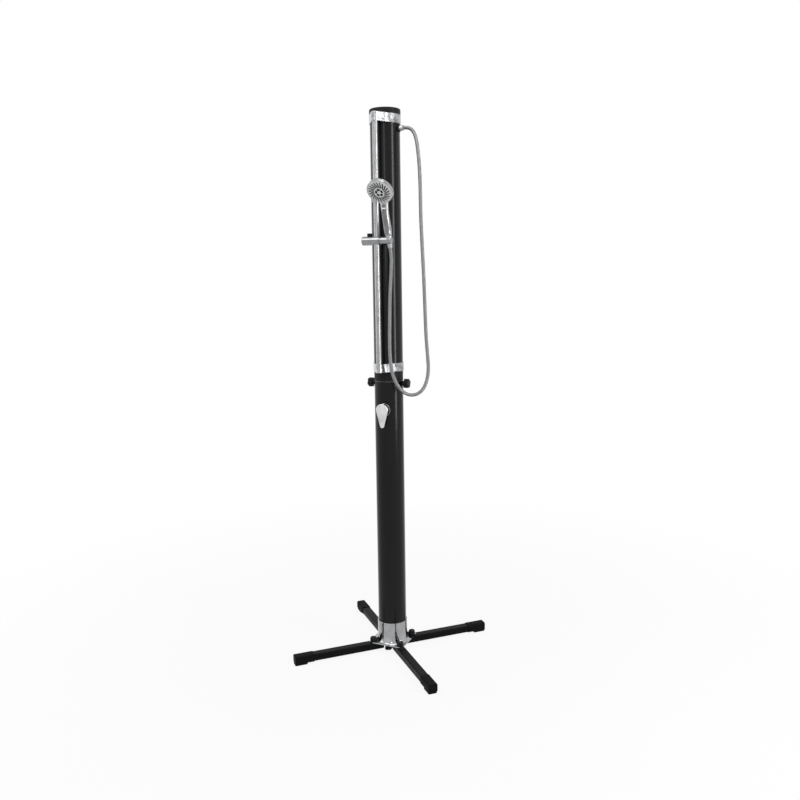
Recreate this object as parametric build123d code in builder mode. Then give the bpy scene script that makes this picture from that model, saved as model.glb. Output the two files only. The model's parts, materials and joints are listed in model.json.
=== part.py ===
from build123d import *
from math import asin, cos, pi, radians, sin, sqrt, tan
import os

# Solar outdoor shower: a black two-part tank column on four legs, with a slide rail, a hand shower
# on a sliding holder, a hose and a mixer tap.
# Millimetres. +Z is up, the origin is on the column's axis at the floor, and the front faces -Y.

os.makedirs("parts", exist_ok=True)

# Clearances between pieces
nest_gap = 0.2          # pieces of one assembly that slip into each other
run_gap = 0.08          # shafts that turn or slide in their bores
face_gap = 0.3          # faces that move past each other
hole_gap = 0.3          # screws in plain holes

# Tank column
total_height = 2170.0
tube_r = 57.5
tube_wall = 3.2
tube_bore_r = tube_r - tube_wall
spigot_r = tube_bore_r - nest_gap
lower_tube_bottom = 50.0
lower_tube_top = 1133.0
collar_height = 39.0
upper_tube_bottom = lower_tube_top + collar_height
cap_height = 20.0
upper_tube_top = total_height - cap_height
cap_r = 60.0
cap_edge = 5.0
cap_skirt = 18.0
cap_wall = 3.0

# Coupling between the two tubes
coupling_down = 60.0
coupling_up = 28.0
coupling_wall = 6.6
seal_r = 1.5
seal_squeeze = 0.1
seal_below = 38.0       # lower seal, under the lower tube's rim
seal_above = 15.0       # upper seal, over the upper tube's foot

# Hand knobs at the tube joint
joint_knob_z = 1122.0
joint_screw_r = 3.0
insert_r = 5.0
star_r = 18.5
star_thick = 19.0
star_lobes = 5
scallop_r = 8.0
scallop_at = 23.0
star_hub_r = 9.0
star_hub = 11.0
star_hub_flare = 2.0
star_edge = 2.5
insert_inset = 0.5

# Rail and its two bands
rail_y = -90.0
rail_r = 11.0
rail_wall = 1.2
band_height = 34.0
band_wall = 3.2
band_nose_r = 13.0
rail_socket = 20.0
lower_band_z = upper_tube_bottom
top_band_z = upper_tube_top - 2.0 - band_height
band_screw_r = 2.5
band_screw_len = 10.0
band_hex_r = 1.4
band_hex_deep = 3.0
band_screw_in = 9.0     # from the band's inner end
band_screw_along = 29.0  # along the band's flat side, from its nose
band_edge = 1.5

# Legs and feet
leg_width = 34.0
leg_height = 29.0
leg_wall = 3.0
leg_corner = 4.0
leg_start = 45.0
foot_start = 345.0
foot_end = 424.0
foot_wall = 2.0
foot_fit = 0.1
foot_toe = 4.0
foot_pad_start = 373.0
foot_lift = 7.0         # floor to the leg's underside
leg_top = foot_lift + leg_height

# Base socket
plate_half = 76.0
plate_thick = 4.0
plate_corner = 10.0
plate_top = leg_top + plate_thick
socket_wall = 3.3
socket_bore_r = tube_r + nest_gap
socket_r = socket_bore_r + socket_wall
socket_top = 127.0
skirt_spread = 11.0
skirt_top = 72.0
skirt_pull_r = 3.9       # control points of the skirt's curve, from the wall and over the plate
skirt_pull_low = 4.0
skirt_pull_high = 14.0
groove_top_half = 2.0
groove_foot_half = 3.6
groove_rim = 5.0
groove_depth = 2.1
groove_count = 6
groove_start = 10.0
hub_r = 40.0
bolt_at = 67.0
bolt_r = 3.0
bolt_head_r = 5.0
bolt_head = 7.0
bolt_hex_r = 2.7
bolt_seat = 44.0
spot_r = 6.0
base_knob_at = 61.0 * sqrt(2)
base_knob_r = 13.2
base_knob_height = 18.0
base_knob_dome = 6.0
base_scallop_count = 8
base_scallop_out = 2.2
base_scallop_r = 3.2
base_screw_r = 3.0
nut_r = 6.5
nut_thick = 6.0
screw_past_nut = 1.0

# Inlet under the base
inlet_z = 17.5
elbow_r = 11.0
elbow_bend = 12.0
elbow_bore_r = 5.5
elbow_spigot_r = 9.0
elbow_spigot = 10.0
collar_y = -24.0
collar_end = -44.0
collar_r = 16.0
nose_r = 8.0
nose_end = -63.0
nose_groove = 1.0
nose_bore_r = 4.5
nose_groove_at = 6.0    # from the nose's end
nose_groove_wide = 3.0
nose_edge = 1.5
collar_edge = 1.0
collar_rib_count = 18
collar_rib_out = 0.6
collar_rib_r = 1.3

# Closing plug of the lower tube
plug_flange = 14.0
plug_boss_r = 10.0
plug_boss = 16.0
vent_r = 1.0            # cross hole that lets cold water into the tank
vent_up = 3.0

# Mixer and tap
tap_z = 1021.0
tap_turn = 5.0
pipe_r = 6.0
pipe_wall = 1.0
pipe_seat = 10.0
mixer_back = -14.0
mixer_r = 22.0
neck_r = 17.8
neck_end = 60.0
cartridge_r = 15.0
cartridge_back = 20.0
cartridge_end = 58.0
port_r = 8.0
port_reach = 30.0
side_port_x = 11.0
nut_ring_end = 63.5
nut_mouth_r = 13.6
nut_thread_r = 16.5
yoke_r = 13.0
yoke_back = 46.0
yoke_end = 66.0
pivot_at = 60.0
pin_r = 2.0
slot_half = 8.0
stem_r = 3.9
stem_back = 52.0
stem_eye_half = 5.0     # half the width cut for the pivot pin
yoke_slot_gap = 2.0
pin_short = 1.0         # pin's end inside the yoke's rim
escutcheon_r = 26.5
escutcheon_end = 64.0
escutcheon_edge = 2.5
trim_inner_r = 20.0
trim_outer_r = 23.5
trim_thick = 1.2
lever_back = 79.5
lever_front = 89.5
lever_dome_r = 24.5
lever_dome_up = 3.0
lever_tip_r = 8.5
lever_tip_down = 60.5
lever_edge = 3.5
lever_hub_r = 8.5
lever_hub = 6.5

# Hose outlet near the top, on +X
outlet_z = 2097.0
outlet_back = 38.0
outlet_bore_r = 4.5
outlet_r = 8.0
outlet_flange_r = 12.0
outlet_flange_x = 48.0
outlet_flange = 4.0
nipple_short = 3.0      # nipple's end inside the hose nut
outlet_rose_r = 15.0
outlet_rose_x = 61.5
outlet_rose_edge = 1.5
outlet_nut_r = 10.5
outlet_nut_end = 79.0
outlet_nut_taper = 4.0
outlet_nut_lip = 0.8    # wall at the hose end
nut_rib_count = 16
nut_rib_out = 0.5
nut_rib_r = 1.1
hose_r = 7.0

# Slider on the rail
slider_z = 1677.0
slider_r = 17.0
slider_left = -20.0
slider_right = 15.6
bushing_wall = 2.0
bushing_half = 9.5
lock_left = -58.0
lock_shaft_r = 5.0
lock_shaft = 5.0
tab_left = -38.0
tab_width = 14.0
tab_rise = 11.0
lock_tab_corner = 3.0
lock_tab_edge = 2.0
barrel_edge = 2.0
holder_r = 14.5
holder_end = 62.0
cone_x = 52.0
holder_pin_r = 5.0
holder_pin_end = 34.0
holder_rivet_r = 3.5
mouth_width = 15.0

# Hand shower, leaning forward in its holder
lean = 17.0
face_tilt = 23.0
cone_low_r = 9.0
cone_low_w = -28.0
cone_top_r = 12.5
cone_top_w = 15.0
cone_rim = 3.0
cone_bore_r = 5.0
cone_inlet = 10.0
handle_high_w = 120.0
handle_sections = (      # along the handle, shift backwards, width, depth, corner radius
    (29.0, 0.0, 26.0, 24.0, 9.0),
    (74.5, -1.0, 27.0, 21.5, 8.5),
    (120.0, -0.5, 28.0, 19.0, 8.0),
    (146.0, 3.5, 32.0, 14.0, 6.0),
)
panel_low_w = 36.0
panel_high_w = 120.0
panel_width = 17.0
panel_thick = 2.0
panel_edge = 0.9
panel_cut = 60.0        # reach of the panel's recess, out past the handle's front
panel_low_seat = 10.8
panel_high_seat = 8.8
face_v = 26.2
face_w = 186.4
head_r = 50.0
plate_r = 47.0
plate_dome = 4.0
plate_flat_r = 17.0
ring_depth = 8.0
lip_r = 45.5
lip_from = 4.0
rim_depth = 13.0
back_r = 41.0
back_depth = 17.0
dome_depth = 26.0
shoulder_r = 47.0       # control points of the head's rounded back
dome_r = 27.0
back_drop = 1.0
tab_reach = 60.0
tab_angle = 226.0
tab_half = 6.0
tab_corner = 3.0
tab_inset = 1.0
ring_edge = 1.0
groove_swirl_count = 22
groove_ring_r = 31.0
groove_len = 24.0
groove_wide = 2.6
groove_swirl = 25.0
groove_deep = 1.0       # below the plate's rim
slot_ring_r = 11.5
slot_len = 9.0
slot_wide = 2.6
slot_deep = 2.5


def tap_plane(out):
    """Plane across the tap's axis, this far out from the column's axis; its y runs upwards."""
    turn = radians(tap_turn)
    axis = Vector(sin(turn), -cos(turn), 0)
    return Plane(origin=Vector(0, 0, tap_z) + axis * out, x_dir=(cos(turn), sin(turn), 0), z_dir=axis)


def barrel_plane(x):
    """Plane across the slider's barrel, at this x; its y runs upwards."""
    return Plane(origin=(x, rail_y, slider_z), x_dir=(0, 1, 0), z_dir=(1, 0, 0))


def outlet_plane(x):
    """Plane across the hose outlet, at this x; its y runs upwards."""
    return Plane(origin=(x, 0, outlet_z), x_dir=(0, 1, 0), z_dir=(1, 0, 0))


def handle_plane(along):
    """Plane across the hand shower's handle, this far along it; its y runs backwards."""
    tilt = radians(lean)
    axis = Vector(0, -sin(tilt), cos(tilt))
    return Plane(origin=Vector(cone_x, rail_y, slider_z) + axis * along, x_dir=(1, 0, 0), z_dir=axis)


def face_plane(out):
    """Plane of the spray face, moved outwards by this much; its y runs up the face."""
    tilt = radians(lean)
    along = Vector(0, -sin(tilt), cos(tilt))
    forward = Vector(0, -cos(tilt), -sin(tilt))
    turn = radians(face_tilt)
    normal = forward * cos(turn) - along * sin(turn)
    centre = Vector(cone_x, rail_y, slider_z) + forward * face_v + along * face_w
    return Plane(origin=centre + normal * out, x_dir=(1, 0, 0), z_dir=normal)


def far_edges(piece, plane):
    """Edges of the piece's outermost face along the plane's normal."""
    return piece.faces().sort_by(Axis(plane.origin, plane.z_dir))[-1].edges()


# Plane of the head's turned outline: its x is the radius and its y runs out of the face
head_outline = Plane(origin=face_plane(0).origin, x_dir=face_plane(0).y_dir, z_dir=(1, 0, 0))
head_axis = Axis(face_plane(0).origin, face_plane(0).z_dir)


# Top cap: pressed into the upper tube, with a rounded rim
with BuildPart() as top_cap:
    with BuildSketch(Plane.XY.offset(upper_tube_top)):
        Circle(cap_r)
    extrude(amount=cap_height)
    fillet(top_cap.edges().group_by(Axis.Z)[-1], cap_edge)
    with BuildSketch(Plane.XY.offset(upper_tube_top)):
        Circle(spigot_r)
    extrude(amount=-cap_skirt)
    with BuildSketch(Plane.XY.offset(upper_tube_top - cap_skirt)):
        Circle(spigot_r - cap_wall)
    extrude(amount=cap_skirt + cap_height - cap_edge, mode=Mode.SUBTRACT)
top_cap.part.label = "top_cap"
export_step(top_cap.part, "parts/top_cap.step")

# Upper tank tube, with the hose outlet's hole
with BuildPart() as upper_tube:
    with BuildSketch(Plane.XY.offset(upper_tube_bottom)):
        Circle(tube_r)
        Circle(tube_bore_r, mode=Mode.SUBTRACT)
    extrude(amount=upper_tube_top - upper_tube_bottom)
    with BuildSketch(outlet_plane(0)):
        Circle(outlet_r + hole_gap)
    extrude(amount=tube_r + tube_wall, mode=Mode.SUBTRACT)
upper_tube.part.label = "upper_tube"
export_step(upper_tube.part, "parts/upper_tube.step")

# Lower tank tube, with holes for the tap's neck and the two hand knobs
with BuildPart() as lower_tube:
    with BuildSketch(Plane.XY.offset(lower_tube_bottom)):
        Circle(tube_r)
        Circle(tube_bore_r, mode=Mode.SUBTRACT)
    extrude(amount=lower_tube_top - lower_tube_bottom)
    with BuildSketch(tap_plane(0)):
        Circle(neck_r + hole_gap)
    extrude(amount=tube_r + tube_wall, mode=Mode.SUBTRACT)
    with BuildSketch(Plane.YZ):
        with Locations((0, joint_knob_z)):
            Circle(joint_screw_r + hole_gap)
    extrude(amount=tube_r + tube_wall, both=True, mode=Mode.SUBTRACT)
lower_tube.part.label = "lower_tube"
export_step(lower_tube.part, "parts/lower_tube.step")

# Coupling: a collar as wide as the tubes with a spigot into each, two seal grooves and insert holes
seal_heights = (lower_tube_top - seal_below, upper_tube_bottom + seal_above)
coupling_bore_r = spigot_r - coupling_wall
seal_centre_r = tube_bore_r - seal_squeeze - seal_r
with BuildPart() as tube_coupling:
    with BuildSketch(Plane.XY.offset(lower_tube_top - coupling_down)):
        Circle(spigot_r)
    extrude(amount=coupling_down + collar_height + coupling_up)
    with BuildSketch(Plane.XY.offset(lower_tube_top)):
        Circle(tube_r)
    extrude(amount=collar_height)
    with BuildSketch(Plane.XY.offset(lower_tube_top - coupling_down)):
        Circle(coupling_bore_r)
    extrude(amount=coupling_down + collar_height + coupling_up, mode=Mode.SUBTRACT)
    for seal_z in seal_heights:
        with BuildSketch(Plane.XY.offset(seal_z - seal_r - seal_squeeze)):
            Circle(spigot_r + seal_r)
            Circle(seal_centre_r - seal_r - seal_squeeze, mode=Mode.SUBTRACT)
        extrude(amount=2 * (seal_r + seal_squeeze), mode=Mode.SUBTRACT)
    with BuildSketch(Plane.YZ):
        with Locations((0, joint_knob_z)):
            Circle(insert_r + nest_gap / 2)
    extrude(amount=tube_r, both=True, mode=Mode.SUBTRACT)
tube_coupling.part.label = "tube_coupling"
export_step(tube_coupling.part, "parts/tube_coupling.step")

# Rubber seals in the coupling's grooves
with BuildPart() as coupling_seals:
    with BuildSketch(Plane.XZ):
        for seal_z in seal_heights:
            with Locations((seal_centre_r, seal_z)):
                Circle(seal_r)
    revolve(axis=Axis.Z)
coupling_seals.part.label = "coupling_seals"
export_step(coupling_seals.part, "parts/coupling_seals.step")

# Threaded brass inserts that the hand knobs screw into
with BuildPart() as joint_inserts:
    with BuildSketch(Plane.YZ.offset(coupling_bore_r + insert_inset)):
        with Locations((0, joint_knob_z)):
            Circle(insert_r)
            Circle(joint_screw_r + run_gap, mode=Mode.SUBTRACT)
    extrude(amount=coupling_wall - 2 * insert_inset)
    mirror(about=Plane.YZ)
joint_inserts.part.label = "joint_inserts"
export_step(joint_inserts.part, "parts/joint_inserts.step")

# Star hand knobs that clamp the lower tube to the coupling, one on each side
for side, name in ((1, "joint_knob_right"), (-1, "joint_knob_left")):
    knob_plane = Plane(origin=(side * tube_r, 0, joint_knob_z), x_dir=(0, 1, 0), z_dir=(side, 0, 0))
    with BuildPart() as joint_knob:
        with BuildSketch(knob_plane.offset(star_hub + face_gap)):
            Circle(star_r)
            with PolarLocations(scallop_at, star_lobes, start_angle=90 + 180 / star_lobes):
                Circle(scallop_r, mode=Mode.SUBTRACT)
        extrude(amount=star_thick)
        fillet(far_edges(joint_knob, knob_plane), star_edge)
        with BuildSketch(knob_plane.offset(face_gap)):
            Circle(star_hub_r)
        with BuildSketch(knob_plane.offset(face_gap + star_hub)):
            Circle(star_hub_r + star_hub_flare)
        loft()
        with BuildSketch(knob_plane.offset(face_gap)):
            Circle(joint_screw_r)
        extrude(amount=-(tube_wall + coupling_wall))
    joint_knob.part.label = name
    export_step(joint_knob.part, f"parts/{name}.step")

# Bands that hold the slide rail: a ring round the tube drawn out to a nose with a blind rail socket
band_r = tube_r + nest_gap / 2
flat_turn = asin((band_r + band_wall - band_nose_r) / -rail_y)
flat_normal = Vector(cos(flat_turn), -sin(flat_turn), 0)
flat_along = Vector(sin(flat_turn), cos(flat_turn), 0)
band_screw_spot = Vector(0, rail_y, 0) + flat_normal * band_nose_r + flat_along * band_screw_along
band_levels = {
    "top_band": (top_band_z, top_band_z, top_band_z + band_screw_in),
    "lower_band": (lower_band_z, lower_band_z + band_height - rail_socket,
                   lower_band_z + band_height - band_screw_in),
}
for name, (bottom, socket_bottom, screw_z) in band_levels.items():
    with BuildPart() as band:
        with BuildSketch(Plane.XY.offset(bottom)):
            Circle(band_r + band_wall)
            with Locations((0, rail_y)):
                Circle(band_nose_r)
            make_hull()
        extrude(amount=band_height)
        fillet(band.edges().filter_by(Plane.XY), band_edge)
        with BuildSketch(Plane.XY.offset(bottom)):
            Circle(band_r)
        extrude(amount=band_height, mode=Mode.SUBTRACT)
        with BuildSketch(Plane.XY.offset(socket_bottom)):
            with Locations((0, rail_y)):
                Circle(rail_r + nest_gap / 2)
        extrude(amount=rail_socket, mode=Mode.SUBTRACT)
        with BuildSketch(Plane(origin=band_screw_spot + Vector(0, 0, screw_z), z_dir=flat_normal)):
            Circle(band_screw_r + nest_gap / 2)
        extrude(amount=-band_screw_len - nest_gap, mode=Mode.SUBTRACT)
    band.part.label = name
    export_step(band.part, f"parts/{name}.step")

# One socket set screw in each band's flat side
with BuildPart() as band_screws:
    for bottom, socket_bottom, screw_z in band_levels.values():
        screw_plane = Plane(origin=band_screw_spot + Vector(0, 0, screw_z), z_dir=flat_normal)
        with BuildSketch(screw_plane):
            Circle(band_screw_r)
            RegularPolygon(band_hex_r, 6, mode=Mode.SUBTRACT)
        extrude(amount=-band_hex_deep)
        with BuildSketch(screw_plane.offset(-band_hex_deep)):
            Circle(band_screw_r)
        extrude(amount=band_hex_deep - band_screw_len)
band_screws.part.label = "band_screws"
export_step(band_screws.part, "parts/band_screws.step")

# Slide rail, a chromed tube with its ends in the bands' sockets
rail_bottom = lower_band_z + band_height - rail_socket
rail_top = top_band_z + rail_socket
with BuildPart() as slide_rail:
    with BuildSketch(Plane.XY.offset(rail_bottom)):
        with Locations((0, rail_y)):
            Circle(rail_r)
            Circle(rail_r - rail_wall, mode=Mode.SUBTRACT)
    extrude(amount=rail_top - rail_bottom)
slide_rail.part.label = "slide_rail"
export_step(slide_rail.part, "parts/slide_rail.step")

# Base socket: a square plate and the cup that the lower tube stands in, with a flared skirt,
# vertical grooves, seats for four bolts and holes for four hand knobs
with BuildPart() as base_socket:
    with BuildSketch(Plane.XY.offset(leg_top)):
        RectangleRounded(2 * plate_half, 2 * plate_half, plate_corner)
    extrude(amount=plate_thick)
    with BuildSketch(Plane.XZ):
        with BuildLine():
            foot_r = socket_r + skirt_spread
            Polyline((socket_r, skirt_top), (socket_r, socket_top), (socket_bore_r, socket_top),
                     (socket_bore_r, lower_tube_bottom), (hub_r + nest_gap, lower_tube_bottom),
                     (hub_r + nest_gap, leg_top), (foot_r, leg_top), (foot_r, plate_top))
            Bezier((foot_r, plate_top), (socket_r + skirt_pull_r, plate_top + skirt_pull_low),
                   (socket_r, plate_top + skirt_pull_high), (socket_r, skirt_top))
        make_face()
    revolve(axis=Axis.Z)
    with BuildSketch(Plane.XY.offset(plate_top)):
        with PolarLocations(bolt_at, 4, start_angle=45):
            Circle(spot_r)
    extrude(amount=bolt_seat - plate_top)
    with BuildSketch(Plane.XY.offset(bolt_seat)):
        with PolarLocations(bolt_at, 4, start_angle=45):
            Circle(spot_r)
        Circle(socket_r, mode=Mode.SUBTRACT)
    extrude(amount=skirt_top - bolt_seat, mode=Mode.SUBTRACT)
    for groove in range(groove_count):
        turn = radians(groove_start + 360 * groove / groove_count)
        with BuildSketch(Plane(origin=(socket_r * cos(turn), socket_r * sin(turn), 0),
                               x_dir=(-sin(turn), cos(turn), 0), z_dir=(cos(turn), sin(turn), 0))):
            Polygon((-groove_foot_half, skirt_top), (groove_foot_half, skirt_top),
                    (groove_top_half, socket_top - groove_rim), (-groove_top_half, socket_top - groove_rim),
                    align=None)
        extrude(amount=groove_depth, both=True, mode=Mode.SUBTRACT)
    with BuildSketch(Plane.XY.offset(leg_top)):
        Circle(hub_r + nest_gap)
    extrude(amount=lower_tube_bottom - leg_top, mode=Mode.SUBTRACT)
    with BuildSketch(Plane.XY.offset(leg_top)):
        with PolarLocations(bolt_at, 4, start_angle=45):
            Circle(bolt_r + hole_gap)
        with PolarLocations(base_knob_at, 4, start_angle=45):
            Circle(base_screw_r + hole_gap)
    extrude(amount=bolt_seat - leg_top, mode=Mode.SUBTRACT)
base_socket.part.label = "base_socket"
export_step(base_socket.part, "parts/base_socket.step")

# Legs: four box tubes on the diagonals, and the rubber feet on their ends
corners = {"back_right": 45, "back_left": 135, "front_left": 225, "front_right": 315}
for corner, turn in corners.items():
    outward = Vector(cos(radians(turn)), sin(radians(turn)), 0)
    leg_plane = Plane(origin=outward * leg_start + Vector(0, 0, foot_lift + leg_height / 2),
                      x_dir=(-sin(radians(turn)), cos(radians(turn)), 0), z_dir=outward)
    with BuildPart() as leg:
        with BuildSketch(leg_plane):
            RectangleRounded(leg_width, leg_height, leg_corner)
            RectangleRounded(leg_width - 2 * leg_wall, leg_height - 2 * leg_wall, leg_corner - leg_wall,
                             mode=Mode.SUBTRACT)
        extrude(amount=foot_end - foot_toe - leg_start)
        with BuildSketch(Plane.XY.offset(leg_top)):
            with Locations(outward * bolt_at, outward * base_knob_at):
                Circle(bolt_r + hole_gap)
        extrude(amount=-2 * leg_wall, mode=Mode.SUBTRACT)
    leg.part.label = f"leg_{corner}"
    export_step(leg.part, f"parts/leg_{corner}.step")
    with BuildPart() as foot:
        with BuildSketch(leg_plane.offset(foot_start - leg_start)):
            RectangleRounded(leg_width + 2 * foot_wall, leg_height + 2 * foot_wall, leg_corner + foot_wall)
        extrude(amount=foot_end - foot_start)
        with BuildSketch(Plane(origin=(0, 0, 0), x_dir=outward, z_dir=(0, 0, 1))):
            with Locations(((foot_pad_start + foot_end) / 2, 0)):
                RectangleRounded(foot_end - foot_pad_start, leg_width, leg_corner)
        extrude(amount=foot_lift)
        with BuildSketch(leg_plane.offset(foot_start - leg_start)):
            RectangleRounded(leg_width + 2 * foot_fit, leg_height + 2 * foot_fit, leg_corner)
        extrude(amount=foot_end - foot_toe + foot_fit - foot_start, mode=Mode.SUBTRACT)
    foot.part.label = f"foot_{corner}"
    export_step(foot.part, f"parts/foot_{corner}.step")

# Socket cap bolts through the casting into the legs
wall_under = leg_top - leg_wall
with BuildPart() as flange_bolts:
    with BuildSketch(Plane.XY.offset(bolt_seat)):
        with PolarLocations(bolt_at, 4, start_angle=45):
            Circle(bolt_head_r)
    extrude(amount=bolt_head)
    with BuildSketch(Plane.XY.offset(bolt_seat + bolt_head)):
        with PolarLocations(bolt_at, 4, start_angle=45):
            RegularPolygon(bolt_hex_r, 6)
    extrude(amount=-bolt_head / 2, mode=Mode.SUBTRACT)
    with BuildSketch(Plane.XY.offset(bolt_seat)):
        with PolarLocations(bolt_at, 4, start_angle=45):
            Circle(bolt_r)
    extrude(amount=wall_under - nut_thick - screw_past_nut - bolt_seat)
flange_bolts.part.label = "flange_bolts"
export_step(flange_bolts.part, "parts/flange_bolts.step")

# Nuts under the legs' upper walls, for the bolts and the hand knobs
with BuildPart() as leg_nuts:
    with BuildSketch(Plane.XY.offset(wall_under)):
        with PolarLocations(bolt_at, 4, start_angle=45):
            RegularPolygon(nut_r, 6)
            Circle(bolt_r + run_gap, mode=Mode.SUBTRACT)
        with PolarLocations(base_knob_at, 4, start_angle=45):
            RegularPolygon(nut_r, 6)
            Circle(base_screw_r + run_gap, mode=Mode.SUBTRACT)
    extrude(amount=-nut_thick)
leg_nuts.part.label = "leg_nuts"
export_step(leg_nuts.part, "parts/leg_nuts.step")

# Domed hand knobs at the plate's corners, with finger scallops and their screws
for corner, turn in corners.items():
    spot = Vector(cos(radians(turn)), sin(radians(turn)), 0) * base_knob_at
    knob_base = Plane(origin=spot + Vector(0, 0, plate_top + face_gap), z_dir=(0, 0, 1))
    with BuildPart() as base_knob:
        with BuildSketch(knob_base):
            Circle(base_knob_r)
        extrude(amount=base_knob_height)
        fillet(base_knob.edges().group_by(Axis.Z)[-1], base_knob_dome)
        with BuildSketch(knob_base):
            with PolarLocations(base_knob_r + base_scallop_out, base_scallop_count):
                Circle(base_scallop_r)
        extrude(amount=base_knob_height - base_knob_dome, mode=Mode.SUBTRACT)
        with BuildSketch(knob_base):
            Circle(base_screw_r)
        extrude(amount=-(plate_top + face_gap - wall_under + nut_thick + screw_past_nut))
    base_knob.part.label = f"base_knob_{corner}"
    export_step(base_knob.part, f"parts/base_knob_{corner}.step")

# Closing plug of the lower tube, with the water inlet below and the cold pipe's boss above
plug_top = lower_tube_bottom + plug_flange
with BuildPart() as bottom_plug:
    with BuildSketch(Plane.XZ):
        with BuildLine():
            Polyline((elbow_bore_r, leg_top), (hub_r, leg_top), (hub_r, lower_tube_bottom),
                     (spigot_r, lower_tube_bottom), (spigot_r, plug_top), (plug_boss_r, plug_top),
                     (plug_boss_r, plug_top + plug_boss), (elbow_bore_r, plug_top + plug_boss), close=True)
        make_face()
    revolve(axis=Axis.Z)
    with BuildSketch(Plane.XY.offset(leg_top)):
        Circle(elbow_spigot_r + nest_gap / 2)
    extrude(amount=elbow_spigot + nest_gap, mode=Mode.SUBTRACT)
    with BuildSketch(Plane.XY.offset(plug_top + plug_boss)):
        Circle(pipe_r + nest_gap / 2)
    extrude(amount=-pipe_seat, mode=Mode.SUBTRACT)
    with BuildSketch(Plane.YZ):
        with Locations((0, plug_top + vent_up)):
            Circle(vent_r)
    extrude(amount=2 * plug_boss_r, both=True, mode=Mode.SUBTRACT)
bottom_plug.part.label = "bottom_plug"
export_step(bottom_plug.part, "parts/bottom_plug.step")

# Inlet elbow under the plug, turning the water path to the front
with BuildPart() as inlet_elbow:
    with BuildLine() as elbow_path:
        FilletPolyline((0, 0, leg_top), (0, 0, inlet_z), (0, collar_y, inlet_z), radius=elbow_bend)
    with BuildSketch(Plane.XY.offset(leg_top)):
        Circle(elbow_r)
        Circle(elbow_bore_r, mode=Mode.SUBTRACT)
    sweep(path=elbow_path.wires()[0])
    with BuildSketch(Plane.XY.offset(leg_top)):
        Circle(elbow_spigot_r)
        Circle(elbow_bore_r, mode=Mode.SUBTRACT)
    extrude(amount=elbow_spigot)
inlet_elbow.part.label = "inlet_elbow"
export_step(inlet_elbow.part, "parts/inlet_elbow.step")

# Quick-connect inlet: a ribbed collar and a nose with a seal groove, facing the front
groove_near = -nose_end - nose_groove_at - nose_groove_wide
inlet_outline = Plane(origin=(0, 0, inlet_z), x_dir=(0, -1, 0), z_dir=(1, 0, 0))
with BuildPart() as inlet_connector:
    with BuildSketch(inlet_outline):
        with BuildLine():
            Polyline((-collar_y, nose_bore_r), (-collar_y, collar_r - collar_edge),
                     (-collar_y + collar_edge, collar_r), (-collar_end - collar_edge, collar_r),
                     (-collar_end, collar_r - collar_edge), (-collar_end, nose_r),
                     (groove_near, nose_r), (groove_near, nose_r - nose_groove),
                     (groove_near + nose_groove_wide, nose_r - nose_groove),
                     (groove_near + nose_groove_wide, nose_r), (-nose_end - nose_edge, nose_r),
                     (-nose_end, nose_r - nose_edge), (-nose_end, nose_bore_r), close=True)
        make_face()
    revolve(axis=Axis((0, 0, inlet_z), (0, -1, 0)))
    with BuildSketch(Plane(origin=(0, collar_y, inlet_z), x_dir=(1, 0, 0), z_dir=(0, -1, 0))):
        with PolarLocations(collar_r + collar_rib_out, collar_rib_count):
            Circle(collar_rib_r)
    extrude(amount=collar_y - collar_end, mode=Mode.SUBTRACT)
inlet_connector.part.label = "inlet_connector"
export_step(inlet_connector.part, "parts/inlet_connector.step")

# Mixer body inside the lower tube: a neck through the tube's wall, and three pipe ports
with BuildPart() as mixer_body:
    with BuildSketch(tap_plane(mixer_back)):
        Circle(mixer_r)
    extrude(amount=tube_r - mixer_back)
    with BuildSketch(Plane.XY.offset(tap_z - mixer_r)):
        Circle(tube_bore_r)
    extrude(amount=2 * mixer_r, mode=Mode.INTERSECT)
    with BuildSketch(tap_plane(cartridge_back)):
        Circle(neck_r)
    extrude(amount=neck_end - cartridge_back)
    with BuildSketch(Plane.XY.offset(tap_z)):
        with Locations((side_port_x, 0), (-side_port_x, 0)):
            Circle(port_r)
    extrude(amount=port_reach)
    with BuildSketch(Plane.XY.offset(tap_z)):
        Circle(port_r)
    extrude(amount=-port_reach)
    with BuildSketch(Plane.XY.offset(tap_z + port_reach)):
        with Locations((side_port_x, 0), (-side_port_x, 0)):
            Circle(pipe_r + nest_gap / 2)
    extrude(amount=-pipe_seat, mode=Mode.SUBTRACT)
    with BuildSketch(Plane.XY.offset(tap_z - port_reach)):
        Circle(pipe_r + nest_gap / 2)
    extrude(amount=pipe_seat, mode=Mode.SUBTRACT)
    with BuildSketch(tap_plane(cartridge_back)):
        Circle(cartridge_r + nest_gap / 2)
    extrude(amount=neck_end - cartridge_back, mode=Mode.SUBTRACT)
    with BuildSketch(tap_plane(cartridge_end)):
        Circle(nut_thread_r + nest_gap / 2)
    extrude(amount=neck_end - cartridge_end, mode=Mode.SUBTRACT)
mixer_body.part.label = "mixer_body"
export_step(mixer_body.part, "parts/mixer_body.step")

# Cartridge, the nut that holds it in the neck, and the turning yoke with the lever's pivot pin
with BuildPart() as mixer_cartridge:
    with BuildSketch(tap_plane(cartridge_back)):
        Circle(cartridge_r)
    extrude(amount=cartridge_end - cartridge_back)
    with BuildSketch(tap_plane(yoke_back - face_gap)):
        Circle(yoke_r + run_gap)
    extrude(amount=cartridge_end - yoke_back + face_gap, mode=Mode.SUBTRACT)
mixer_cartridge.part.label = "mixer_cartridge"
export_step(mixer_cartridge.part, "parts/mixer_cartridge.step")

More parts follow.
